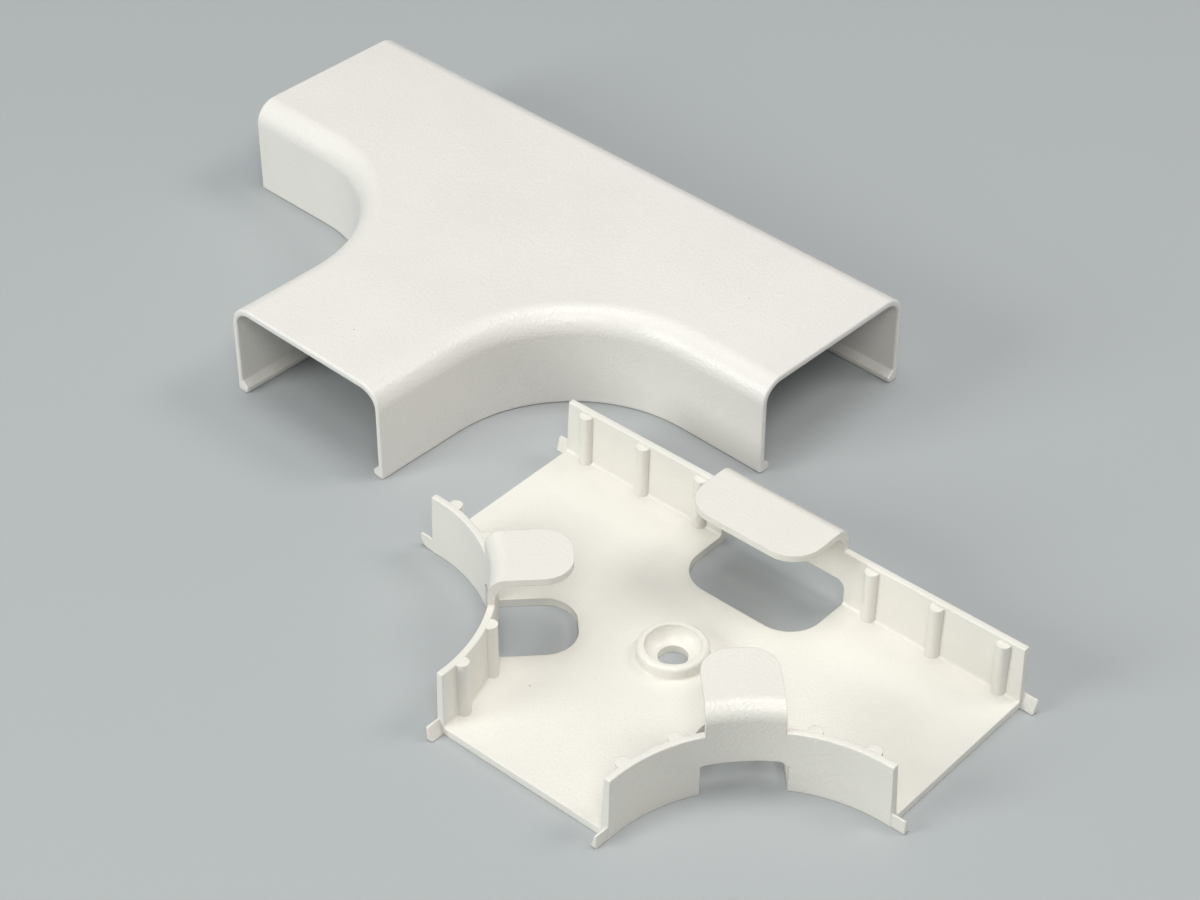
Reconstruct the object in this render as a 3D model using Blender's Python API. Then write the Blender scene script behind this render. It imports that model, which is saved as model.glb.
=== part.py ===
# Tee fitting of a surface cable duct: a moulded base that is screwed to the wall,
# and the moulded cover that caps it, lying beside each other with the cover taken off.
# Metres, +Z up. The origin is on the floor, in the middle of the two pieces' footprint.

import math

import bmesh
import bpy
from mathutils import Matrix, Vector

# Base: the tray that the cables lie in
baseHalfWidth = 0.0185      # from the middle of a channel to the outside of its wall
bendRadius = 0.0303         # outside of the base's curved walls
endStraight = 0.0012        # straight wall between a bend and the open end
plateThickness = 0.0016
wallThickness = 0.0013      # at the top of a wall
wallDraft = 0.0002          # how much thicker a wall is at its foot
wallHeight = 0.0128         # above the floor
endLean = 0.0005            # how far a wall's end leans back at the top

# Half-round ribs inside the walls
ribRadius = 0.0015
ribDropAtBack = 0.0012      # the back wall's ribs stop this far below its top
ribDropAtBend = 0.00005     # the curved walls' ribs end level with them, but for this
backRibFromTab = 0.0059     # from the side of the back tab to the nearest rib
backRibFromEnd = 0.0046     # from the open end to the last rib
backRibsPerSide = 3
bendRibAngles = (7.4, 24.8)  # degrees in from each end of a bend

# Locating nubs that carry the wall lines past the open ends
nubReach = 0.0027
nubHeight = 0.0028
nubTopWidth = 0.0005        # its inner side slopes from here to the foot
nubRounding = 0.0004
nubInset = 0.0001           # sides and underside, in from the wall's and the plate's

# Tabs that hold the cables down, and the openings that the mould needs below them
tabRise = 0.0051            # top of a tab above the top of its wall
tabBendRadius = 0.0030      # outside of the bend
tabInnerRadius = 0.0028     # inside of the bend
tabInset = 0.00005          # both faces of a tab, in from its wall's
backTabHalfWidth = 0.0127
bendTabHalfWidth = 0.0064
tabReach = 0.0140           # from the outside of the wall to the tip
backTabCorner = 0.0060
bendTabCorner = 0.0052
openingGap = 0.0007         # the opening is this much larger than its tab all round
windowHeight = 0.0064       # how far the opening climbs the wall
windowCorner = 0.0015

# Screw boss
bossOffset = 0.0122         # from the middle of the run towards the branch
bossFootRadius = 0.0072
bossRadius = 0.0061
bossRimRadius = 0.0056
bossHeight = 0.0039         # above the floor
recessRadius = 0.0052
recessPast = 0.0003
screwHoleRadius = 0.0026
screwHoleDepth = 0.0015     # straight part of the screw hole

# Cover: a shell that slides over the base's walls
coverClearance = 0.00015
coverThickness = 0.0012
coverTopThickness = 0.0015
coverOverlap = 0.0183       # how far its ends reach past the base's
coverHeight = 0.0202
coverEdgeRadius = 0.0047    # rounded edge between the top and the sides
coverFootRounding = 0.0005
footFacet = 0.00015         # the foot's rounding has one facet, with its lower corner here
beadReach = 0.00135         # bead along the foot of the inner wall
beadUndersideReach = 0.0006  # it is drawn back at its underside
beadLeadReach = 0.00115     # and slopes out to its nose
beadLeadHeight = 0.0002
beadTipLow = 0.0006         # the bead's nose, between these two heights
beadTipHigh = 0.0013
beadTopHeight = 0.0025      # where the bead meets the wall

# How the two pieces lie
coverShift = (-0.0877, 0.05875)
coverTurn = -2.1            # degrees
basePlace = (0.0, 0.0)

# Fineness of the round forms
bendSteps = 24
edgeSteps = 6
cornerSteps = 8
bossSteps = 40
weldDistance = 0.000005

# Worked out from the sizes above
bendCentre = baseHalfWidth + bendRadius
baseArm = bendCentre + endStraight      # from the middle of the tee to each open end
coverHalfWidth = baseHalfWidth + coverClearance + coverThickness
coverArm = baseArm + coverOverlap
tabTop = wallHeight + tabRise
overrun = 0.004             # how far a cutter passes the faces that it cuts


def clearScene():
    for obj in list(bpy.data.objects):
        bpy.data.objects.remove(obj, do_unlink=True)


def plastic(name, colour, roughness):
    material = bpy.data.materials.new(name)
    material.use_nodes = True
    shader = material.node_tree.nodes["Principled BSDF"]
    shader.inputs["Base Color"].default_value = (*colour, 1.0)
    shader.inputs["Roughness"].default_value = roughness
    shader.inputs["Metallic"].default_value = 0.0
    return material


def meshObject(name, bm, material=None):
    bmesh.ops.remove_doubles(bm, verts=bm.verts, dist=1e-7)
    bmesh.ops.recalc_face_normals(bm, faces=bm.faces)
    mesh = bpy.data.meshes.new(name)
    bm.to_mesh(mesh)
    bm.free()
    obj = bpy.data.objects.new(name, mesh)
    bpy.context.scene.collection.objects.link(obj)
    if material:
        mesh.materials.append(material)
    return obj


def helper(name, bm):
    obj = meshObject(name, bm)
    obj.hide_render = True
    obj.display_type = "WIRE"
    return obj


def combine(obj, operand, operation):
    # The operand is a child, so that it stays where its piece goes
    operand.parent = obj
    step = obj.modifiers.new(operand.name, "BOOLEAN")
    step.operation = operation
    step.object = operand
    step.solver = "EXACT"


def weld(obj):
    # Joins the corners that the Booleans leave a hair apart
    step = obj.modifiers.new("weld", "WELD")
    step.merge_threshold = weldDistance


def arcPoints(centre, radius, startAngle, endAngle, steps):
    points = []
    for i in range(steps + 1):
        angle = math.radians(startAngle + (endAngle - startAngle) * i / steps)
        points.append((centre[0] + radius * math.cos(angle), centre[1] + radius * math.sin(angle)))
    return points


def teeOutline(halfWidth, arm):
    # Back edge, right end, right bend, branch end, left bend, left end
    bend = bendCentre - halfWidth
    rightBend = arcPoints((bendCentre, -bendCentre), bend, 90, 180, bendSteps)
    leftBend = arcPoints((-bendCentre, -bendCentre), bend, 0, 90, bendSteps)
    corners = [(-arm, halfWidth), (arm, halfWidth), (arm, -halfWidth)]
    branchEnd = [(halfWidth, -arm), (-halfWidth, -arm)]
    return corners + rightBend + branchEnd + leftBend + [(-arm, -halfWidth)]


def teeStack(levels):
    # A tee-shaped solid whose side follows a section, given as (half width, height, arm length)
    bm = bmesh.new()
    rings = []
    for halfWidth, height, arm in levels:
        rings.append([bm.verts.new((x, y, height)) for x, y in teeOutline(halfWidth, arm)])
    for lower, upper in zip(rings, rings[1:]):
        for i in range(len(lower)):
            bm.faces.new((lower[i - 1], lower[i], upper[i], upper[i - 1]))
    bm.faces.new(rings[0])
    bm.faces.new(rings[-1])
    return bm


def extruded(outline, bottom, top):
    # A closed outline in the XY plane, raised from one height to another
    bm = bmesh.new()
    verts = [bm.verts.new((x, y, bottom)) for x, y in outline]
    face = bm.faces.new(verts)
    raised = bmesh.ops.extrude_face_region(bm, geom=[face])["geom"]
    rise = Vector((0.0, 0.0, top - bottom))
    bmesh.ops.translate(bm, verts=[v for v in raised if isinstance(v, bmesh.types.BMVert)], vec=rise)
    bmesh.ops.recalc_face_normals(bm, faces=bm.faces)
    return bm


def merged(parts):
    # Several bmesh solids as the shells of one
    bm = bmesh.new()
    for part, matrix in parts:
        bmesh.ops.transform(part, matrix=matrix, verts=part.verts)
        mesh = bpy.data.meshes.new("shell")
        part.to_mesh(mesh)
        part.free()
        bm.from_mesh(mesh)
        bpy.data.meshes.remove(mesh)
    return bm


def station(x, y, inward):
    # Frame on the outside of a wall: local -Y points into the tee, at an angle in degrees
    return Matrix.Translation((x, y, 0.0)) @ Matrix.Rotation(math.radians(inward + 90.0), 4, "Z")


def bendPoint(side, radius, angle):
    # Point of a bend at a distance from its centre; angle in degrees from the run's end
    turn = math.radians(90.0 + angle)
    x = bendCentre + radius * math.cos(turn)
    y = -bendCentre + radius * math.sin(turn)
    return side * x, y


def bendStation(side, radius, angle):
    x, y = bendPoint(side, radius, angle)
    inward = 90.0 + angle if side > 0 else 90.0 - angle
    return station(x, y, inward)


def tongueOutline(halfWidth, reach, corner, start):
    # Strip that runs inwards from a wall, with its two free corners rounded
    outline = [(halfWidth, start)]
    outline += arcPoints((halfWidth - corner, -reach + corner), corner, 0, -90, cornerSteps)
    outline += arcPoints((-halfWidth + corner, -reach + corner), corner, -90, -180, cornerSteps)
    outline.append((-halfWidth, start))
    return outline


def tabSection():
    # Bent strip as (distance inwards from the outside of the wall, height)
    root = wallHeight - wallThickness
    near = tabInset
    far = wallThickness - tabInset
    under = tabTop - wallThickness
    outer = arcPoints((near + tabBendRadius, tabTop - tabBendRadius), tabBendRadius, 180, 90, edgeSteps)
    inner = arcPoints((far + tabInnerRadius, under - tabInnerRadius), tabInnerRadius, 90, 180, edgeSteps)
    end = tabReach + overrun
    return [(near, root)] + outer + [(end, tabTop), (end, under)] + inner + [(far, root)]


def backTab():
    bm = bmesh.new()
    width = backTabHalfWidth + overrun
    verts = [bm.verts.new((-width, baseHalfWidth - u, z)) for u, z in tabSection()]
    face = bm.faces.new(verts)
    swept = bmesh.ops.extrude_face_region(bm, geom=[face])["geom"]
    across = Vector((2.0 * width, 0.0, 0.0))
    bmesh.ops.translate(bm, verts=[v for v in swept if isinstance(v, bmesh.types.BMVert)], vec=across)
    strip = helper("back_tab_strip", bm)
    tongue = extruded(tongueOutline(backTabHalfWidth, tabReach, backTabCorner, overrun), 0.0, tabTop + overrun)
    trim = helper("back_tab_outline", merged([(tongue, station(0.0, baseHalfWidth, -90.0))]))
    combine(strip, trim, "INTERSECT")
    return strip


def bendTab(side, label):
    # The strip turns with the wall, on the same steps, so that the faces run on
    stepsEachWay = math.ceil(math.degrees(math.asin(bendTabHalfWidth / bendRadius)) / (90.0 / bendSteps)) + 1
    halfAngle = stepsEachWay * 90.0 / bendSteps
    bm = bmesh.new()
    verts = []
    for u, z in tabSection():
        x, y = bendPoint(side, bendRadius + u, 45.0 - halfAngle)
        verts.append(bm.verts.new((x, y, z)))
    face = bm.faces.new(verts)
    bmesh.ops.spin(
        bm, geom=[face], cent=(side * bendCentre, -bendCentre, 0.0), axis=(0.0, 0.0, 1.0),
        angle=side * math.radians(2.0 * halfAngle), steps=2 * stepsEachWay, use_duplicate=False)
    strip = helper(label + "_strip", bm)
    tongue = extruded(tongueOutline(bendTabHalfWidth, tabReach, bendTabCorner, overrun), 0.0, tabTop + overrun)
    trim = helper(label + "_outline", merged([(tongue, bendStation(side, bendRadius, 45.0))]))
    combine(strip, trim, "INTERSECT")
    return strip


def tabOpening(halfWidth, corner):
    # Through the plate below a tab and up the wall behind it, with rounded upper corners
    width = halfWidth + openingGap
    outline = tongueOutline(width, tabReach + openingGap, corner + openingGap, overrun)
    bm = extruded(outline, -overrun, windowHeight)
    sides = []
    for edge in bm.edges:
        a, b = edge.verts
        level = abs(a.co.z - windowHeight) < 1e-6 and abs(b.co.z - windowHeight) < 1e-6
        if level and abs(abs(a.co.x) - width) < 1e-6 and abs(a.co.x - b.co.x) < 1e-6:
            sides.append(edge)
    bmesh.ops.bevel(
        bm, geom=sides, offset=windowCorner, offset_type="OFFSET", segments=edgeSteps, profile=0.5,
        affect="EDGES", clamp_overlap=True, material=-1)
    return bm


def openings():
    return helper("tab_openings", merged([
        (tabOpening(backTabHalfWidth, backTabCorner), station(0.0, baseHalfWidth, -90.0)),
        (tabOpening(bendTabHalfWidth, bendTabCorner), bendStation(1, bendRadius, 45.0)),
        (tabOpening(bendTabHalfWidth, bendTabCorner), bendStation(-1, bendRadius, 45.0)),
    ]))


def rib(top):
    # Half-round rib, rooted halfway into the wall and the plate
    root = wallThickness / 2.0
    outline = [(ribRadius, root)] + arcPoints((0.0, 0.0), ribRadius, 0, -180, cornerSteps) + [(-ribRadius, root)]
    return extruded(outline, plateThickness / 2.0, top)


def ribs():
    parts = []
    innerFace = baseHalfWidth - wallThickness
    first = backTabHalfWidth + backRibFromTab
    last = baseArm - backRibFromEnd
    for side in (-1, 1):
        for i in range(backRibsPerSide):
            x = side * (first + (last - first) * i / (backRibsPerSide - 1))
            parts.append((rib(wallHeight - ribDropAtBack), station(x, innerFace, -90.0)))
        for angle in bendRibAngles:
            for turn in (angle, 90.0 - angle):
                place = bendStation(side, bendRadius + wallThickness, turn)
                parts.append((rib(wallHeight - ribDropAtBend), place))
    return helper("ribs", merged(parts))


def nub(mirrored):
    # Wedge in line with a wall, upright on its outer side; local -Y points out of the open end
    foot = wallThickness + wallDraft
    section = [(nubInset, nubInset), (foot - nubInset, nubInset), (nubTopWidth, nubHeight), (nubInset, nubHeight)]
    bm = bmesh.new()
    verts = [bm.verts.new((foot - x if mirrored else x, nubReach, z)) for x, z in section]
    face = bm.faces.new(verts)
    swept = bmesh.ops.extrude_face_region(bm, geom=[face])["geom"]
    along = Vector((0.0, -2.0 * nubReach, 0.0))
    bmesh.ops.translate(bm, verts=[v for v in swept if isinstance(v, bmesh.types.BMVert)], vec=along)
    bmesh.ops.recalc_face_normals(bm, faces=bm.faces)
    ends = [e for e in bm.edges if all(abs(v.co.y + nubReach) < 1e-6 for v in e.verts)]
    bmesh.ops.bevel(
        bm, geom=ends, offset=nubRounding, offset_type="OFFSET", segments=2, profile=0.5,
        affect="EDGES", clamp_overlap=True, material=-1)
    return bm


def nubs():
    foot = wallThickness + wallDraft
    inner = baseHalfWidth - foot
    parts = []
    for x, y, outward, mirrored in (
            (-baseArm, baseHalfWidth, 180.0, False), (-baseArm, -inner, 180.0, True),
            (baseArm, inner, 0.0, True), (baseArm, -baseHalfWidth, 0.0, False),
            (-baseHalfWidth, -baseArm, -90.0, False), (inner, -baseArm, -90.0, True)):
        turn = Matrix.Rotation(math.radians(outward + 90.0), 4, "Z")
        parts.append((nub(mirrored), Matrix.Translation((x, y, 0.0)) @ turn))
    return helper("end_nubs", merged(parts))


def revolved(profile):
    # A profile of (radius, height) turned round Z, from axis to axis
    bm = bmesh.new()
    verts = [bm.verts.new((r, 0.0, z)) for r, z in profile]
    edges = [bm.edges.new(pair) for pair in zip(verts, verts[1:])]
    bmesh.ops.spin(
        bm, geom=verts + edges, cent=(0.0, 0.0, 0.0), axis=(0.0, 0.0, 1.0), angle=2.0 * math.pi,
        steps=bossSteps, use_merge=True, use_duplicate=False)
    bmesh.ops.remove_doubles(bm, verts=bm.verts, dist=1e-6)
    bmesh.ops.recalc_face_normals(bm, faces=bm.faces)
    return bm


def boss():
    # Flared foot, straight side and a rounded rim
    flare = bossFootRadius - bossRadius
    foot = arcPoints((bossFootRadius, plateThickness + flare), flare, 270, 180, edgeSteps)
    rimRounding = bossRadius - bossRimRadius
    rim = arcPoints((bossRimRadius, bossHeight - rimRounding), rimRounding, 0, 90, edgeSteps)
    profile = [(0.0, plateThickness / 2.0), (bossFootRadius, plateThickness / 2.0)] + foot + rim + [(0.0, bossHeight)]
    return helper("screw_boss", merged([(revolved(profile), Matrix.Translation((0.0, -bossOffset, 0.0)))]))


def screwRecess():
    # Bowl for the screw's head above a straight hole; its curve ends just above the rim
    bowlDepth = bossHeight + recessPast - screwHoleDepth
    bowl = []
    for i in range(edgeSteps + 1):
        angle = math.radians(90.0 * i / edgeSteps)
        r = screwHoleRadius + (recessRadius - screwHoleRadius) * math.sin(angle)
        bowl.append((r, screwHoleDepth + bowlDepth * (1.0 - math.cos(angle))))
    profile = [(0.0, -overrun), (screwHoleRadius, -overrun)] + bowl
    profile += [(recessRadius, bossHeight + overrun), (0.0, bossHeight + overrun)]
    # Turned half a facet, so that its corners fall between the boss's own
    turn = Matrix.Rotation(math.pi / bossSteps, 4, "Z")
    return helper("screw_recess", merged([(revolved(profile), Matrix.Translation((0.0, -bossOffset, 0.0)) @ turn)]))


def buildBase(material):
    base = meshObject("base", teeStack([
        (baseHalfWidth, 0.0, baseArm),
        (baseHalfWidth, plateThickness, baseArm),
        (baseHalfWidth, wallHeight, baseArm - endLean),
    ]), material)
    innerTop = baseHalfWidth - wallThickness
    slope = wallDraft / (wallHeight - plateThickness)
    tray = helper("tray_space", teeStack([
        (innerTop - wallDraft, plateThickness, baseArm + overrun),
        (innerTop + slope * overrun, wallHeight + overrun, baseArm + overrun),
    ]))
    combine(base, tray, "DIFFERENCE")
    combine(base, nubs(), "UNION")
    combine(base, ribs(), "UNION")
    combine(base, backTab(), "UNION")
    combine(base, bendTab(-1, "left_tab"), "UNION")
    combine(base, bendTab(1, "front_tab"), "UNION")
    combine(base, boss(), "UNION")
    combine(base, openings(), "DIFFERENCE")
    combine(base, screwRecess(), "DIFFERENCE")
    weld(base)
    return base


def shellSection(halfWidth, height, widthRadius, heightRadius, arm, foot):
    # Side, rounded edge and flat top, above the levels given for the foot
    section = list(foot)
    for i in range(edgeSteps + 1):
        angle = math.radians(90.0 * i / edgeSteps)
        inset = widthRadius * (1.0 - math.cos(angle))
        section.append((halfWidth - inset, height - heightRadius * (1.0 - math.sin(angle)), arm))
    return section


def buildCover(material):
    foot = [
        (coverHalfWidth - coverFootRounding, 0.0, coverArm),
        (coverHalfWidth - footFacet, footFacet, coverArm),
        (coverHalfWidth, coverFootRounding, coverArm),
    ]
    cover = meshObject("cover", teeStack(shellSection(
        coverHalfWidth, coverHeight, coverEdgeRadius, coverEdgeRadius, coverArm, foot)), material)
    inner = coverHalfWidth - coverThickness
    past = coverArm + overrun
    underside = inner - beadUndersideReach
    beadFoot = [
        (underside, -overrun, past),
        (underside, 0.0, past),
        (inner - beadLeadReach, beadLeadHeight, past),
        (inner - beadReach, beadTipLow, past),
        (inner - beadReach, beadTipHigh, past),
        (inner, beadTopHeight, past),
    ]
    # The top is a little thicker than the sides, so the inner edge is slightly oval
    hollow = helper("duct_space", teeStack(shellSection(
        inner, coverHeight - coverTopThickness, coverEdgeRadius - coverThickness,
        coverEdgeRadius - coverTopThickness, past, beadFoot)))
    combine(cover, hollow, "DIFFERENCE")
    return cover


def place(obj, x, y, turn):
    obj.location = (x, y, 0.0)
    obj.rotation_euler = (0.0, 0.0, math.radians(turn))


def footprint():
    # Lowest and highest corner that the two pieces reach on the floor
    baseTip = baseArm + nubReach
    points = [(-baseTip, baseHalfWidth), (baseTip, baseHalfWidth), (baseHalfWidth, -baseTip)]
    points = [(x + basePlace[0], y + basePlace[1]) for x, y in points]
    turn = Matrix.Rotation(math.radians(coverTurn), 2)
    for corner in ((-coverArm, coverHalfWidth), (coverArm, coverHalfWidth), (-coverArm, -coverHalfWidth),
                   (coverArm, -coverHalfWidth), (-coverHalfWidth, -coverArm), (coverHalfWidth, -coverArm)):
        x, y = turn @ Vector(corner)
        points.append((x + coverShift[0], y + coverShift[1]))
    xs = [p[0] for p in points]
    ys = [p[1] for p in points]
    return min(xs), max(xs), min(ys), max(ys)


def main():
    clearScene()
    base = buildBase(plastic("ivory_base", (0.84, 0.80, 0.73), 0.42))
    cover = buildCover(plastic("ivory_cover", (0.82, 0.79, 0.73), 0.40))
    left, right, front, back = footprint()
    middleX = (left + right) / 2.0
    middleY = (front + back) / 2.0
    place(base, basePlace[0] - middleX, basePlace[1] - middleY, 0.0)
    place(cover, coverShift[0] - middleX, coverShift[1] - middleY, coverTurn)


main()
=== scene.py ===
import math

import bmesh
import bpy
from mathutils import Matrix, Vector


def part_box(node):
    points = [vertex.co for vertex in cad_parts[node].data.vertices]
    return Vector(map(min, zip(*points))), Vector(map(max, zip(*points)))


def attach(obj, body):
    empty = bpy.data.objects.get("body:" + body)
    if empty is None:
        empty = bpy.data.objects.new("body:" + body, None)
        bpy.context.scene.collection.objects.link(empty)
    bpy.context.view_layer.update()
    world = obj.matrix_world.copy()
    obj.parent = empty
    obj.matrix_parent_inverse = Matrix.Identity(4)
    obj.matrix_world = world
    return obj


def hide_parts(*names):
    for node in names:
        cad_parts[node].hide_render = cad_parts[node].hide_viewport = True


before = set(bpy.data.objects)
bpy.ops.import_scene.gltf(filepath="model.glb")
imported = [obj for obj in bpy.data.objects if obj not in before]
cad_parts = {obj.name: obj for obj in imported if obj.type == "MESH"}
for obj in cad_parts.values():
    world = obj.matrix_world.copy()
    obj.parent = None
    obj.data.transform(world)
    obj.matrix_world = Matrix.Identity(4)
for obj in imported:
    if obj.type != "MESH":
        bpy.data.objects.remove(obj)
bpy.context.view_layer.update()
print("frame loaded:", sorted(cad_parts))

# Shared by both mouldings, in metres
tee = {
    "halfWidth": 0.0185,      # middle of a channel to the outside of the base's wall
    "bendRadius": 0.0303,     # outside of the base's curved walls
    "endStraight": 0.0012,    # straight wall between a bend and an open end
    "bendSteps": 40,
    "roundSteps": 10,         # in a quarter turn of a rounded edge
    "smallSteps": 3,          # the same, in the smallest roundings
    "overrun": 0.004,         # how far a cutter passes the faces that it cuts
    "weld": 0.000015,         # corners that a Boolean leaves closer than this become one
    "sliver": 0.000002,       # faces thinner than this are taken out
    "tolerance": 0.000001,    # between two places that are meant to be the same
    "sharpAngle": 32.0,       # degrees; edges that turn more than this look sharp
}
bendCentre = tee["halfWidth"] + tee["bendRadius"]
baseArm = bendCentre + tee["endStraight"]


def newObject(name, bm):
    mesh = bpy.data.meshes.new(name)
    bm.to_mesh(mesh)
    bm.free()
    obj = bpy.data.objects.new(name, mesh)
    bpy.context.scene.collection.objects.link(obj)
    return obj


def arc(centre, radius, startAngle, endAngle, steps):
    points = []
    for i in range(steps + 1):
        angle = math.radians(startAngle + (endAngle - startAngle) * i / steps)
        points.append((centre[0] + radius * math.cos(angle), centre[1] + radius * math.sin(angle)))
    return points


def vertsOf(geom):
    return [g for g in geom if isinstance(g, bmesh.types.BMVert)]


def edgesOf(geom):
    return [g for g in geom if isinstance(g, bmesh.types.BMEdge)]


def vertAt(bm, x, y, z):
    place = Vector((x, y, z))
    return min(bm.verts, key=lambda v: (v.co - place).length)


def edgesAt(bm, axis, place):
    # The edges that lie in the plane across an axis at a place along it
    return [e for e in bm.edges if all(abs(v.co[axis] - place) < tee["tolerance"] for v in e.verts)]


def roundEdges(bm, edges, radius, steps):
    bmesh.ops.bevel(
        bm, geom=edges, offset=radius, offset_type="OFFSET", segments=steps, profile=0.5,
        affect="EDGES", clamp_overlap=True, material=-1)


def sweepStraight(bm, chain, shift):
    # Draws a chain of edges out along a straight line and returns its new end
    geom = bmesh.ops.extrude_edge_only(bm, edges=edgesOf(chain))["geom"]
    bmesh.ops.translate(bm, verts=vertsOf(geom), vec=shift)
    return vertsOf(geom) + edgesOf(geom)


def sweepWalls(section, arm):
    # Sweeps a section of (distance from the middle of the channel, height) along the three walls of the tee
    bm = bmesh.new()
    verts = [bm.verts.new((-arm, reach, z)) for reach, z in section]
    chain = verts + [bm.edges.new(pair) for pair in zip(verts, verts[1:])]
    sweepStraight(bm, chain, Vector((2.0 * arm, 0.0, 0.0)))
    for side in (1, -1):
        verts = [bm.verts.new((side * arm, -reach, z)) for reach, z in section]
        chain = verts + [bm.edges.new(pair) for pair in zip(verts, verts[1:])]
        chain = sweepStraight(bm, chain, Vector((side * (bendCentre - arm), 0.0, 0.0)))
        turned = bmesh.ops.spin(
            bm, geom=chain, cent=(side * bendCentre, -bendCentre, 0.0), axis=(0.0, 0.0, 1.0),
            angle=side * math.pi / 2.0, steps=tee["bendSteps"], use_merge=False, use_duplicate=False)
        sweepStraight(bm, turned["geom_last"], Vector((0.0, bendCentre - arm, 0.0)))
    return bm


def closeLevel(bm, reach, z, arm):
    # Closes the tee-shaped hole that the three swept walls leave at one height
    mouths = (
        ((arm, reach), (arm, -reach)),
        ((-arm, reach), (-arm, -reach)),
        ((reach, -arm), (-reach, -arm)),
    )
    for mouth in mouths:
        bm.edges.new([vertAt(bm, x, y, z) for x, y in mouth])
    loop = [e for e in edgesAt(bm, 2, z) if len(e.link_faces) < 2]
    bmesh.ops.contextual_create(bm, geom=loop)


def closeEnds(bm, arm):
    # Closes the three open ends and returns the edges round them
    rims = []
    for axis, place in ((0, arm), (0, -arm), (1, -arm)):
        rim = edgesAt(bm, axis, place)
        bmesh.ops.contextual_create(bm, geom=rim)
        rims += rim
    return rims


def sweptMoulding(section, arm, endRounding, lean=None):
    # The closed moulding that a section makes, with the edges round its ends rounded
    bm = sweepWalls(section, arm)
    for reach, z in (section[0], section[-1]):
        closeLevel(bm, reach, z, arm)
    rims = closeEnds(bm, arm)
    if lean:
        lean(bm)
    bmesh.ops.recalc_face_normals(bm, faces=bm.faces)
    roundEdges(bm, rims, endRounding, tee["smallSteps"])
    return bm


def combine(obj, operand, operation):
    step = obj.modifiers.new(operand.name, "BOOLEAN")
    step.operation = operation
    step.object = operand
    step.solver = "EXACT"


def discard(obj):
    # Takes an object out, with the operands of its Booleans and their own
    for step in list(obj.modifiers):
        if step.type == "BOOLEAN" and step.object:
            discard(step.object)
    bpy.data.objects.remove(obj, do_unlink=True)


def settled(obj):
    # The object's mesh with its modifiers worked in, less the slivers that they leave
    graph = bpy.context.evaluated_depsgraph_get()
    mesh = bpy.data.meshes.new_from_object(obj.evaluated_get(graph))
    discard(obj)
    bm = bmesh.new()
    bm.from_mesh(mesh)
    bmesh.ops.remove_doubles(bm, verts=bm.verts, dist=tee["weld"])
    bmesh.ops.dissolve_degenerate(bm, edges=bm.edges, dist=tee["weld"])
    bmesh.ops.triangulate(bm, faces=[f for f in bm.faces if len(f.verts) > 4])
    bmesh.ops.dissolve_degenerate(bm, edges=bm.edges, dist=tee["sliver"])
    bm.to_mesh(mesh)
    bm.free()
    return mesh


def merged(parts):
    # Several bmesh solids as the shells of one
    bm = bmesh.new()
    for part, matrix in parts:
        bmesh.ops.transform(part, matrix=matrix, verts=part.verts)
        mesh = bpy.data.meshes.new("shell")
        part.to_mesh(mesh)
        part.free()
        bm.from_mesh(mesh)
        bpy.data.meshes.remove(mesh)
    return bm


def finished(name, node, mesh, matrix, material):
    # Puts a moulding in its place, shades it and lets it stand for its node
    mesh.transform(matrix)
    mesh.name = name
    mesh.materials.clear()
    mesh.materials.append(material)
    mesh.shade_smooth()
    mesh.set_sharp_from_angle(angle=math.radians(tee["sharpAngle"]))
    obj = bpy.data.objects.new(name, mesh)
    bpy.context.scene.collection.objects.link(obj)
    step = obj.modifiers.new("weighted_normals", "WEIGHTED_NORMAL")
    step.mode = "FACE_AREA"
    step.keep_sharp = True
    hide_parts(node)
    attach(obj, "root")
    print(name, len(mesh.polygons), "faces")


# Satin moulded plastic, with a fine grain, faint clouding and a few specks of dust
plastic = {
    "baseColour": (0.829, 0.800, 0.742),
    "coverColour": (0.838, 0.806, 0.766),
    "roughness": 0.33,
    "specular": 0.5,
    "cloudShare": 0.03,       # how far the clouding darkens the colour
    "cloudScale": 45.0,       # per metre, as every scale here
    "cloudDetail": 2.0,
    "cloudFrom": 0.35,        # noise value below which the clouding is full
    "cloudTo": 0.65,          # and above which there is none
    "speckScale": 110.0,
    "speckSize": 0.016,       # as a share of their spacing
    "speckShade": 0.45,       # their brightness, against the plastic's
    "grainScale": 2000.0,
    "grainDetail": 1.0,
    "grainDepth": 0.0002,
    "grainStrength": 0.45,
    "edgeRounding": 0.0002,   # radius of the softened moulding edges
    "edgeSamples": 6,
}


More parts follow.
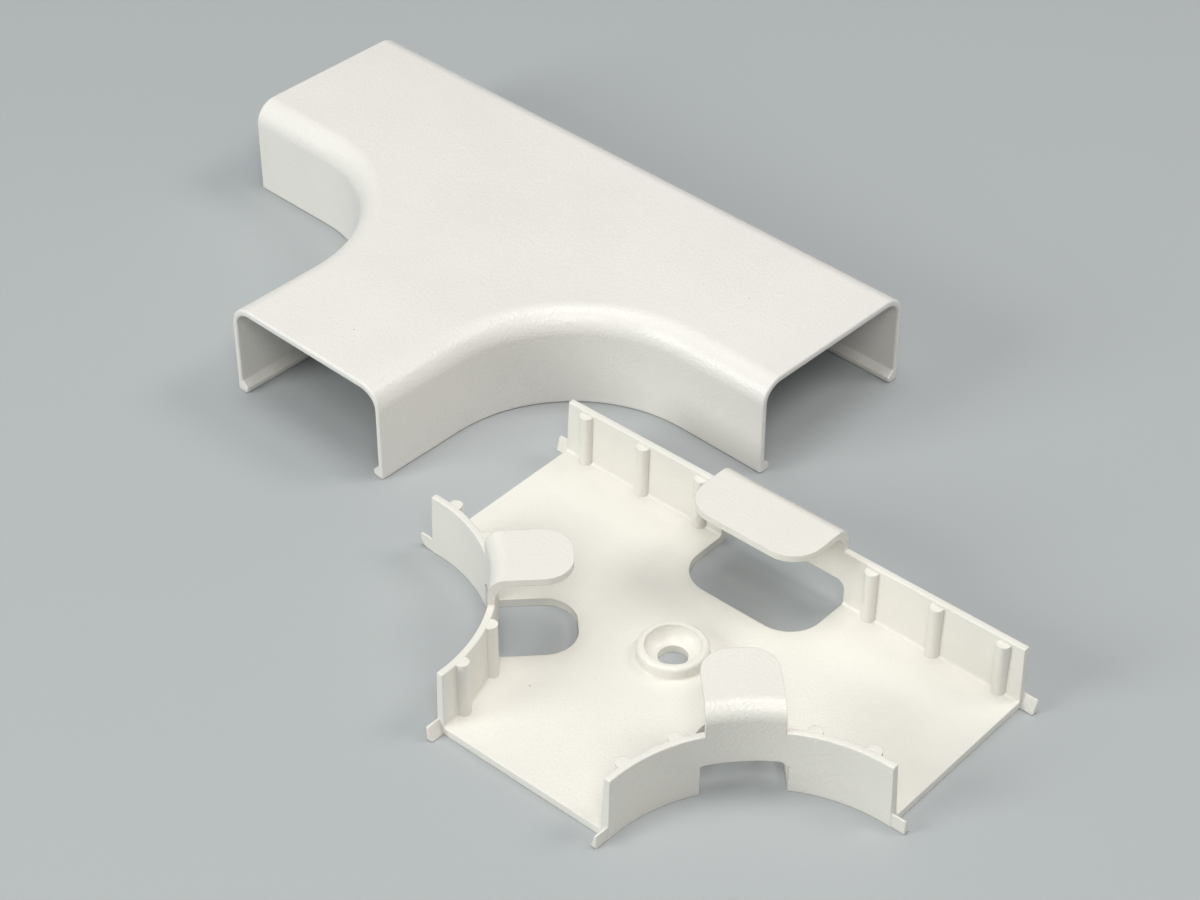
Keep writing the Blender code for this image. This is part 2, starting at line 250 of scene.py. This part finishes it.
def ivoryPlastic(name, colour):
    material = bpy.data.materials.new(name)
    material.use_nodes = True
    tree = material.node_tree
    shader = tree.nodes["Principled BSDF"]
    shader.inputs["Roughness"].default_value = plastic["roughness"]
    shader.inputs["Specular IOR Level"].default_value = plastic["specular"]
    place = tree.nodes.new("ShaderNodeTexCoord")
    cloud = tree.nodes.new("ShaderNodeTexNoise")
    cloud.inputs["Scale"].default_value = plastic["cloudScale"]
    cloud.inputs["Detail"].default_value = plastic["cloudDetail"]
    tree.links.new(place.outputs["Object"], cloud.inputs["Vector"])
    shades = tree.nodes.new("ShaderNodeValToRGB")
    low = tuple(c * (1.0 - plastic["cloudShare"]) for c in colour)
    shades.color_ramp.elements[0].position = plastic["cloudFrom"]
    shades.color_ramp.elements[0].color = (*low, 1.0)
    shades.color_ramp.elements[1].position = plastic["cloudTo"]
    shades.color_ramp.elements[1].color = (*colour, 1.0)
    tree.links.new(cloud.outputs["Fac"], shades.inputs["Fac"])
    points = tree.nodes.new("ShaderNodeTexVoronoi")
    points.inputs["Scale"].default_value = plastic["speckScale"]
    tree.links.new(place.outputs["Object"], points.inputs["Vector"])
    near = tree.nodes.new("ShaderNodeMath")
    near.operation = "LESS_THAN"
    near.inputs[1].default_value = plastic["speckSize"]
    tree.links.new(points.outputs["Distance"], near.inputs[0])
    specks = tree.nodes.new("ShaderNodeMix")
    specks.data_type = "RGBA"
    specks.inputs["B"].default_value = (*(c * plastic["speckShade"] for c in colour), 1.0)
    tree.links.new(near.outputs["Value"], specks.inputs["Factor"])
    tree.links.new(shades.outputs["Color"], specks.inputs["A"])
    tree.links.new(specks.outputs["Result"], shader.inputs["Base Color"])
    grain = tree.nodes.new("ShaderNodeTexNoise")
    grain.inputs["Scale"].default_value = plastic["grainScale"]
    grain.inputs["Detail"].default_value = plastic["grainDetail"]
    tree.links.new(place.outputs["Object"], grain.inputs["Vector"])
    soft = tree.nodes.new("ShaderNodeBevel")
    soft.samples = plastic["edgeSamples"]
    soft.inputs["Radius"].default_value = plastic["edgeRounding"]
    bump = tree.nodes.new("ShaderNodeBump")
    bump.inputs["Strength"].default_value = plastic["grainStrength"]
    bump.inputs["Distance"].default_value = plastic["grainDepth"]
    tree.links.new(grain.outputs["Fac"], bump.inputs["Height"])
    tree.links.new(soft.outputs["Normal"], bump.inputs["Normal"])
    tree.links.new(bump.outputs["Normal"], shader.inputs["Normal"])
    return material


basePlastic = ivoryPlastic("base_plastic", plastic["baseColour"])
coverPlastic = ivoryPlastic("cover_plastic", plastic["coverColour"])

# Cover: a shell with a rounded edge, and a catch bead along the foot of its inner side
cover = {
    "clearance": 0.00015,     # to each side of the base, when pressed on
    "thickness": 0.0012,
    "topThickness": 0.0015,
    "overlap": 0.0183,        # how far its ends reach past the base's
    "height": 0.0202,
    "edgeRadius": 0.0047,
    "footRounding": 0.0005,
    "footSteps": 4,
    "beadUndersideReach": 0.0006,
    "beadLeadReach": 0.00115,
    "beadLeadHeight": 0.0002,
    "beadReach": 0.00135,
    "beadTipLow": 0.0006,
    "beadTipHigh": 0.0013,
    "beadTopHeight": 0.0025,
    "endRounding": 0.00045,
    "turn": -2.1,             # degrees, from square with the base
}
coverHalfWidth = tee["halfWidth"] + cover["clearance"] + cover["thickness"]
coverArm = baseArm + cover["overlap"]


def coverSection():
    half, top, radius, foot = coverHalfWidth, cover["height"], cover["edgeRadius"], cover["footRounding"]
    inner = half - cover["thickness"]
    innerTop = top - cover["topThickness"]
    innerWide = radius - cover["thickness"]
    innerHigh = radius - cover["topThickness"]
    section = arc((half - radius, top - radius), radius, 90, 0, tee["roundSteps"])
    section += arc((half - foot, foot), foot, 0, -90, cover["footSteps"])
    section += [
        (inner - cover["beadUndersideReach"], 0.0),
        (inner - cover["beadLeadReach"], cover["beadLeadHeight"]),
        (inner - cover["beadReach"], cover["beadTipLow"]),
        (inner - cover["beadReach"], cover["beadTipHigh"]),
        (inner, cover["beadTopHeight"]),
    ]
    # The top is a little thicker than the sides, so the inner edge is slightly oval
    for x, z in arc((0.0, 0.0), 1.0, 0, 90, tee["roundSteps"]):
        section.append((inner - innerWide * (1.0 - x), innerTop - innerHigh * (1.0 - z)))
    return section


def teePlace(node, halfWidth, arm, turn):
    # Brings the middle of a turned tee's outline to the middle of its node's box
    rotation = Matrix.Rotation(math.radians(turn), 4, "Z")
    tips = []
    for x, y in ((-arm, halfWidth), (arm, halfWidth), (-arm, -halfWidth), (arm, -halfWidth),
                 (-halfWidth, -arm), (halfWidth, -arm)):
        tips.append(rotation @ Vector((x, y, 0.0)))
    middle = Vector((
        (min(t.x for t in tips) + max(t.x for t in tips)) / 2.0,
        (min(t.y for t in tips) + max(t.y for t in tips)) / 2.0, 0.0))
    low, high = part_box(node)
    place = (low + high) / 2.0
    place.z = 0.0
    return Matrix.Translation(place - middle) @ rotation


def buildCover():
    shell = newObject("cover_draft", sweptMoulding(coverSection(), coverArm, cover["endRounding"]))
    place = teePlace("cover", coverHalfWidth, coverArm, cover["turn"])
    finished("duct_cover", "cover", settled(shell), place, coverPlastic)


# Base: plate and walls, with the things moulded on them
tray = {
    "plateThickness": 0.0016,
    "wallThickness": 0.0013,  # at the top of a wall
    "wallDraft": 0.0002,      # how much thicker a wall is at its foot
    "wallHeight": 0.0128,
    "endLean": 0.0004,        # how far a wall's end leans back at the top
    "endRounding": 0.00015,
    "innerFillet": 0.0006,
    "filletSteps": 5,
    "topRounding": 0.00025,
    "footRounding": 0.0002,
    "footSteps": 2,
}
ribs = {
    "radius": 0.00125,
    "standOff": 0.0003,       # straight part of a rib's sides
    "steps": 20,
    "perSide": 3,             # on the back wall, to each side of its tab
    "fromTab": 0.0059,        # edge of the tab to the first one's middle
    "fromEnd": 0.0046,        # last one's middle to the end of the wall
    "shiftAtBack": 0.0003,
    "dropAtBack": 0.0007,     # from the top of the wall
    "bendAngles": (6.8, 24.8),  # degrees from either end of a bend
    "dropAtBend": 0.00005,
}
nubs = {
    "reach": 0.0027,
    "height": 0.0028,
    "topWidth": 0.0005,
    "rounding": 0.0004,
    "runner": 0.0019,         # round underside of the nub at the left bend's far end
    "inset": 0.0001,          # keeps a nub's faces out of the plane of the wall's
}
tabs = {
    "rise": 0.0051,           # top of a tab above the top of its wall
    "bendRadius": 0.0030,     # outside of the strip's bend
    "innerRadius": 0.0028,
    "inset": 0.000003,        # from the outside of the wall
    "bendMiddle": 45.0,       # degrees round a bend
    "bendFacets": 7,          # of the wall's own facets, on each side of the middle
    "backHalfWidth": 0.0127,
    "bendHalfWidth": 0.0064,
    "reach": 0.0140,          # outside of the wall to the tip of a tab
    "backCorner": 0.0060,
    "bendCorner": 0.0052,
    "cornerSteps": 14,
    "openingGap": 0.0007,     # round a tab, seen from above
    "windowHeight": 0.0064,   # head of the opening in the wall
    "archPast": 0.00002,      # how far an arch reaches past the tongue that it trims, on each side
    "archLead": 0.001,        # how far it starts before the tongue does
    "archSteps": 8,
    "backWindowCorners": (0.0018, 0.0018),  # left and right, seen from inside
    "bendWindowCorners": (0.0018, 0.0004),  # the same, of the right bend; the left one mirrors it
}
boss = {
    "offset": 0.0122,         # from the middle of the long channel
    "footRadius": 0.0067,
    "radius": 0.00615,
    "rimRadius": 0.00545,
    "rimSteps": 6,
    "height": 0.0042,
    "recessRadius": 0.0049,
    "recessPast": 0.0003,     # the dish would run up to this far above the rim
    "recessSteps": 14,
    "holeRadius": 0.0026,
    "holeDepth": 0.0015,      # straight part of the screw hole
    "steps": 72,
}
tabTop = tray["wallHeight"] + tabs["rise"]


def traySection():
    half, wall, plate = tee["halfWidth"], tray["wallThickness"], tray["plateThickness"]
    top, fillet = tray["wallHeight"], tray["innerFillet"]
    rounding, foot = tray["topRounding"], tray["footRounding"]
    innerFoot = half - wall - tray["wallDraft"]
    innerTop = half - wall
    section = arc((innerFoot - fillet, plate + fillet), fillet, -90, 0, tray["filletSteps"])
    section += arc((innerTop + rounding, top - rounding), rounding, 180, 90, tee["smallSteps"])
    section += arc((half - rounding, top - rounding), rounding, 90, 0, tee["smallSteps"])
    section += arc((half - foot, foot), foot, 0, -90, tray["footSteps"])
    return section


def leanEnds(bm):
    # The ends of the walls lean back a little towards their tops
    plate, top = tray["plateThickness"], tray["wallHeight"]
    for v in bm.verts:
        back = tray["endLean"] * max(v.co.z - plate, 0.0) / (top - plate)
        if abs(abs(v.co.x) - baseArm) < tee["tolerance"]:
            v.co.x -= math.copysign(back, v.co.x)
        if abs(v.co.y + baseArm) < tee["tolerance"]:
            v.co.y += back


def station(x, y, inward):
    # A place on a wall: local -Y points the way of the angle, which leads into the tee
    return Matrix.Translation((x, y, 0.0)) @ Matrix.Rotation(math.radians(inward + 90.0), 4, "Z")


def bendPoint(side, radius, angle):
    # Side is 1 at the right bend and -1 at the left; the angle runs from the long channel to the branch
    turn = math.radians(90.0 + angle)
    return side * (bendCentre + radius * math.cos(turn)), -bendCentre + radius * math.sin(turn)


def bendStation(side, radius, angle):
    x, y = bendPoint(side, radius, angle)
    return station(x, y, 90.0 + angle if side > 0 else 90.0 - angle)


def extruded(outline, bottom, top):
    # A closed outline, seen from above, drawn straight up
    bm = bmesh.new()
    face = bm.faces.new([bm.verts.new((x, y, bottom)) for x, y in outline])
    raised = bmesh.ops.extrude_face_region(bm, geom=[face])["geom"]
    bmesh.ops.translate(bm, verts=vertsOf(raised), vec=Vector((0.0, 0.0, top - bottom)))
    bmesh.ops.recalc_face_normals(bm, faces=bm.faces)
    return bm


def swept(section, start, shift):
    # A closed section of (across, height) drawn out along a straight line
    bm = bmesh.new()
    face = bm.faces.new([bm.verts.new(start + Vector(point)) for point in section])
    drawn = bmesh.ops.extrude_face_region(bm, geom=[face])["geom"]
    bmesh.ops.translate(bm, verts=vertsOf(drawn), vec=shift)
    bmesh.ops.recalc_face_normals(bm, faces=bm.faces)
    return bm


def tongueOutline(halfWidth, reach, corner, start):
    # A tab seen from above, with its tip towards local -Y
    outline = [(halfWidth, start)]
    outline += arc((halfWidth - corner, -reach + corner), corner, 0, -90, tabs["cornerSteps"])
    outline += arc((-halfWidth + corner, -reach + corner), corner, -90, -180, tabs["cornerSteps"])
    outline.append((-halfWidth, start))
    return outline


def tabSection():
    # Bent strip as (distance inwards from the outside of the wall, height); its root is sunk into the wall
    root = tray["wallHeight"] - tray["wallThickness"]
    near = tabs["inset"]
    far = tray["wallThickness"] - tabs["inset"]
    under = tabTop - tray["wallThickness"]
    radius, inside = tabs["bendRadius"], tabs["innerRadius"]
    outer = arc((near + radius, tabTop - radius), radius, 180, 90, tee["roundSteps"])
    inner = arc((far + inside, under - inside), inside, 90, 180, tee["roundSteps"])
    end = tabs["reach"] + tee["overrun"]
    return [(near, root)] + outer + [(end, tabTop), (end, under)] + inner + [(far, root)]


def backTab():
    width = tabs["backHalfWidth"] + tee["overrun"]
    section = [(0.0, tee["halfWidth"] - u, z) for u, z in tabSection()]
    strip = newObject("back_tab", swept(section, Vector((-width, 0.0, 0.0)), Vector((2.0 * width, 0.0, 0.0))))
    outline = tongueOutline(tabs["backHalfWidth"], tabs["reach"], tabs["backCorner"], tee["overrun"])
    tongue = extruded(outline, 0.0, tabTop + tee["overrun"])
    trim = newObject("back_tab_outline", merged([(tongue, station(0.0, tee["halfWidth"], -90.0))]))
    combine(strip, trim, "INTERSECT")
    return strip


def bendTab(side):
    # Its facets stand flush with the wall's
    halfTurn = math.radians(90.0 * tabs["bendFacets"] / tee["bendSteps"])
    bm = bmesh.new()
    verts = []
    for u, z in tabSection():
        x, y = bendPoint(side, tee["bendRadius"] + u, tabs["bendMiddle"] - math.degrees(halfTurn))
        verts.append(bm.verts.new((x, y, z)))
    bmesh.ops.spin(
        bm, geom=[bm.faces.new(verts)], cent=(side * bendCentre, -bendCentre, 0.0), axis=(0.0, 0.0, 1.0),
        angle=side * 2.0 * halfTurn, steps=2 * tabs["bendFacets"], use_merge=False, use_duplicate=False)
    bmesh.ops.recalc_face_normals(bm, faces=bm.faces)
    strip = newObject("bend_tab", bm)
    outline = tongueOutline(tabs["bendHalfWidth"], tabs["reach"], tabs["bendCorner"], tee["overrun"])
    tongue = extruded(outline, 0.0, tabTop + tee["overrun"])
    place = bendStation(side, tee["bendRadius"], tabs["bendMiddle"])
    trim = newObject("bend_tab_outline", merged([(tongue, place)]))
    combine(strip, trim, "INTERSECT")
    return strip


def tabOpening(halfWidth, corner):
    # Through the plate below a tab and up the wall behind it
    gap = tabs["openingGap"]
    outline = tongueOutline(halfWidth + gap, tabs["reach"] + gap, corner + gap, tee["overrun"])
    return extruded(outline, -tee["overrun"], tabs["windowHeight"] + tee["overrun"])


def windowArch(halfWidth, corners):
    # Keeps an opening under a flat head with rounded corners
    side = halfWidth + tabs["openingGap"] + tabs["archPast"]
    top, over = tabs["windowHeight"], tee["overrun"]
    left, right = corners
    head = arc((-side + left, top - left), left, 180, 90, tabs["archSteps"])
    head += arc((side - right, top - right), right, 90, 0, tabs["archSteps"])
    section = [(-side, 0.0, -2.0 * over)] + [(x, 0.0, z) for x, z in head] + [(side, 0.0, -2.0 * over)]
    reach = tabs["reach"] + 2.0 * over
    return swept(section, Vector((0.0, over + tabs["archLead"], 0.0)), Vector((0.0, -reach, 0.0)))


def openings():
    back = station(0.0, tee["halfWidth"], -90.0)
    tongues = [(tabOpening(tabs["backHalfWidth"], tabs["backCorner"]), back)]
    arches = [(windowArch(tabs["backHalfWidth"], tabs["backWindowCorners"]), back)]
    for side, corners in ((1, tabs["bendWindowCorners"]), (-1, tabs["bendWindowCorners"][::-1])):
        place = bendStation(side, tee["bendRadius"], tabs["bendMiddle"])
        tongues.append((tabOpening(tabs["bendHalfWidth"], tabs["bendCorner"]), place))
        arches.append((windowArch(tabs["bendHalfWidth"], corners), place))
    cutter = newObject("tab_openings", merged(tongues))
    combine(cutter, newObject("window_arches", merged(arches)), "INTERSECT")
    return cutter


def rib(top):
    root = tray["wallThickness"] / 2.0
    radius = ribs["radius"]
    nose = arc((0.0, -ribs["standOff"]), radius, 0, -180, ribs["steps"])
    return extruded([(radius, root)] + nose + [(-radius, root)], tray["plateThickness"] / 2.0, top)


def allRibs():
    parts = []
    innerFace = tee["halfWidth"] - tray["wallThickness"]
    first = tabs["backHalfWidth"] + ribs["fromTab"]
    last = baseArm - ribs["fromEnd"]
    for side in (-1, 1):
        for i in range(ribs["perSide"]):
            x = side * (first + (last - first) * i / (ribs["perSide"] - 1)) + ribs["shiftAtBack"]
            parts.append((rib(tray["wallHeight"] - ribs["dropAtBack"]), station(x, innerFace, -90.0)))
        for angle in ribs["bendAngles"]:
            for turn in (angle, 90.0 - angle):
                place = bendStation(side, tee["bendRadius"] + tray["wallThickness"], turn)
                parts.append((rib(tray["wallHeight"] - ribs["dropAtBend"]), place))
    return newObject("ribs", merged(parts))


def nub(mirrored, runner):
    # Wedge in line with a wall and upright on its outer side; local -Y points out of the open end
    width = tray["wallThickness"] + tray["wallDraft"]
    low, reach = nubs["inset"], nubs["reach"]
    section = [(low, low), (width - low, low), (nubs["topWidth"], nubs["height"]), (low, nubs["height"])]
    points = [(width - x if mirrored else x, 0.0, z) for x, z in section]
    bm = swept(points, Vector((0.0, reach, 0.0)), Vector((0.0, -2.0 * reach, 0.0)))
    if runner:
        foot = edgesAt(bm, 2, low)
        roundEdges(bm, [e for e in edgesAt(bm, 1, -reach) if e in foot], nubs["runner"], tee["roundSteps"])
    roundEdges(bm, edgesAt(bm, 1, -reach), nubs["rounding"], tee["smallSteps"])
    return bm


def allNubs():
    half = tee["halfWidth"]
    inner = half - tray["wallThickness"] - tray["wallDraft"]
    parts = []
    for x, y, outward, mirrored, runner in (
            (-baseArm, half, 180.0, False, False), (-baseArm, -inner, 180.0, True, True),
            (baseArm, inner, 0.0, True, False), (baseArm, -half, 0.0, False, False),
            (-half, -baseArm, -90.0, False, False), (inner, -baseArm, -90.0, True, False)):
        turn = Matrix.Rotation(math.radians(outward + 90.0), 4, "Z")
        parts.append((nub(mirrored, runner), Matrix.Translation((x, y, 0.0)) @ turn))
    return newObject("end_nubs", merged(parts))


def revolved(profile):
    # A closed profile of (radius, height) turned round the upright axis
    bm = bmesh.new()
    verts = [bm.verts.new((r, 0.0, z)) for r, z in profile]
    edges = [bm.edges.new(pair) for pair in zip(verts, verts[1:])]
    bmesh.ops.spin(
        bm, geom=verts + edges, cent=(0.0, 0.0, 0.0), axis=(0.0, 0.0, 1.0), angle=2.0 * math.pi,
        steps=boss["steps"], use_merge=True, use_duplicate=False)
    bmesh.ops.remove_doubles(bm, verts=bm.verts, dist=tee["tolerance"])
    bmesh.ops.recalc_face_normals(bm, faces=bm.faces)
    return bm


def screwBoss():
    flare = boss["footRadius"] - boss["radius"]
    low = tray["plateThickness"] / 2.0
    foot = arc((boss["footRadius"], tray["plateThickness"] + flare), flare, 270, 180, tee["roundSteps"])
    rounding = boss["radius"] - boss["rimRadius"]
    rim = arc((boss["rimRadius"], boss["height"] - rounding), rounding, 0, 90, boss["rimSteps"])
    profile = [(0.0, low), (boss["footRadius"], low)] + foot + rim + [(0.0, boss["height"])]
    place = Matrix.Translation((0.0, -boss["offset"], 0.0))
    return newObject("screw_boss", merged([(revolved(profile), place)]))


def screwRecess():
    over = tee["overrun"]
    bowlDepth = boss["height"] + boss["recessPast"] - boss["holeDepth"]
    spread = boss["recessRadius"] - boss["holeRadius"]
    bowl = []
    for x, z in arc((0.0, 0.0), 1.0, 90, 0, boss["recessSteps"]):
        bowl.append((boss["holeRadius"] + spread * x, boss["holeDepth"] + bowlDepth * (1.0 - z)))
    profile = [(0.0, -over), (boss["holeRadius"], -over)] + bowl
    profile += [(boss["recessRadius"], boss["height"] + over), (0.0, boss["height"] + over)]
    # Half a facet round, so that its facets don't meet the boss's
    turn = Matrix.Rotation(math.pi / boss["steps"], 4, "Z")
    place = Matrix.Translation((0.0, -boss["offset"], 0.0)) @ turn
    return newObject("screw_recess", merged([(revolved(profile), place)]))


def buildBase():
    base = newObject("base_draft", sweptMoulding(traySection(), baseArm, tray["endRounding"], leanEnds))
    for part in (allNubs(), allRibs(), backTab(), bendTab(-1), bendTab(1), screwBoss()):
        combine(base, part, "UNION")
    for cutter in (openings(), screwRecess()):
        combine(base, cutter, "DIFFERENCE")
    place = teePlace("base", tee["halfWidth"], baseArm + nubs["reach"], 0.0)
    finished("duct_base", "base", settled(base), place, basePlastic)


buildCover()
buildBase()
print("cover and base built")

# The photograph's viewpoint
view = {
    "azimuth": 41.14,         # degrees, from looking along +Y towards looking along -X
    "elevation": 38.87,
    "roll": 0.16,
    "aim": (-0.0467, 0.0225),  # on the floor, from the middle of the base's tee
    "distance": 0.5114,
    "focal": 2781.0,          # in the photograph's pixels, as its width is
    "photoWidth": 1200.0,
    "sensor": 36.0,           # millimetres across
    "clipStart": 0.01,
    "clipEnd": 20.0,
}


def addCamera():
    a = math.radians(view["azimuth"])
    e = math.radians(view["elevation"])
    low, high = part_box("base")
    middle = Vector(((low.x + high.x) / 2.0, high.y - tee["halfWidth"], 0.0))
    aim = middle + Vector((view["aim"][0], view["aim"][1], 0.0))
    back = Vector((math.sin(a) * math.cos(e), -math.cos(a) * math.cos(e), math.sin(e)))
    camera = bpy.data.objects.new("photo_camera", bpy.data.cameras.new("photo_camera"))
    bpy.context.scene.collection.objects.link(camera)
    roll = Matrix.Rotation(math.radians(view["roll"]), 4, "Z")
    turn = back.to_track_quat("Z", "Y").to_matrix().to_4x4() @ roll
    camera.matrix_world = Matrix.Translation(aim + back * view["distance"]) @ turn
    camera.data.sensor_width = view["sensor"]
    camera.data.lens = view["focal"] / view["photoWidth"] * view["sensor"]
    camera.data.clip_start = view["clipStart"]
    camera.data.clip_end = view["clipEnd"]
    bpy.context.scene.camera = camera


# A pale floor under a dim, even sky
stage = {
    "floorColour": (0.43, 0.45, 0.46),
    "floorRoughness": 0.9,
    "floorSize": 6.0,
    "worldColour": (0.87, 0.96, 0.97),
    "worldStrength": 0.18,
}
# Large round lamps that face the middle of the stage, with their power in watts
lamps = {
    "overhead": {"place": (0.0, 0.0, 1.3), "size": 0.7, "watts": 6.4, "colour": (1.0, 0.99, 0.97)},
    "frontRight": {"place": (0.59, -0.59, 1.0), "size": 0.5, "watts": 5.0, "colour": (1.0, 0.99, 0.97)},
    "backRight": {"place": (0.59, 0.59, 1.0), "size": 0.5, "watts": 3.6, "colour": (1.0, 0.98, 0.94)},
    "lowFront": {"place": (-0.50, -1.07, 0.55), "size": 0.6, "watts": 7.9, "colour": (0.96, 1.0, 0.98)},
}


def floorMaterial():
    material = bpy.data.materials.new("pale_floor")
    material.use_nodes = True
    shader = material.node_tree.nodes["Principled BSDF"]
    shader.inputs["Base Color"].default_value = (*stage["floorColour"], 1.0)
    shader.inputs["Roughness"].default_value = stage["floorRoughness"]
    return material


def addStage():
    bm = bmesh.new()
    bmesh.ops.create_grid(bm, x_segments=1, y_segments=1, size=stage["floorSize"] / 2.0)
    floor = newObject("floor", bm)
    floor.data.materials.append(floorMaterial())


def addLights():
    for name, lamp in lamps.items():
        data = bpy.data.lights.new(name, "AREA")
        data.shape = "DISK"
        data.size = lamp["size"]
        data.energy = lamp["watts"]
        data.color = lamp["colour"]
        light = bpy.data.objects.new(name, data)
        light.location = lamp["place"]
        light.rotation_euler = Vector(lamp["place"]).to_track_quat("Z", "Y").to_euler()
        bpy.context.scene.collection.objects.link(light)
    world = bpy.data.worlds.new("studio")
    bpy.context.scene.world = world
    world.use_nodes = True
    background = world.node_tree.nodes["Background"]
    background.inputs["Color"].default_value = (*stage["worldColour"], 1.0)
    background.inputs["Strength"].default_value = stage["worldStrength"]
    bpy.context.scene.view_settings.view_transform = "Standard"


addCamera()
addStage()
addLights()
print("stage, lights and camera placed")
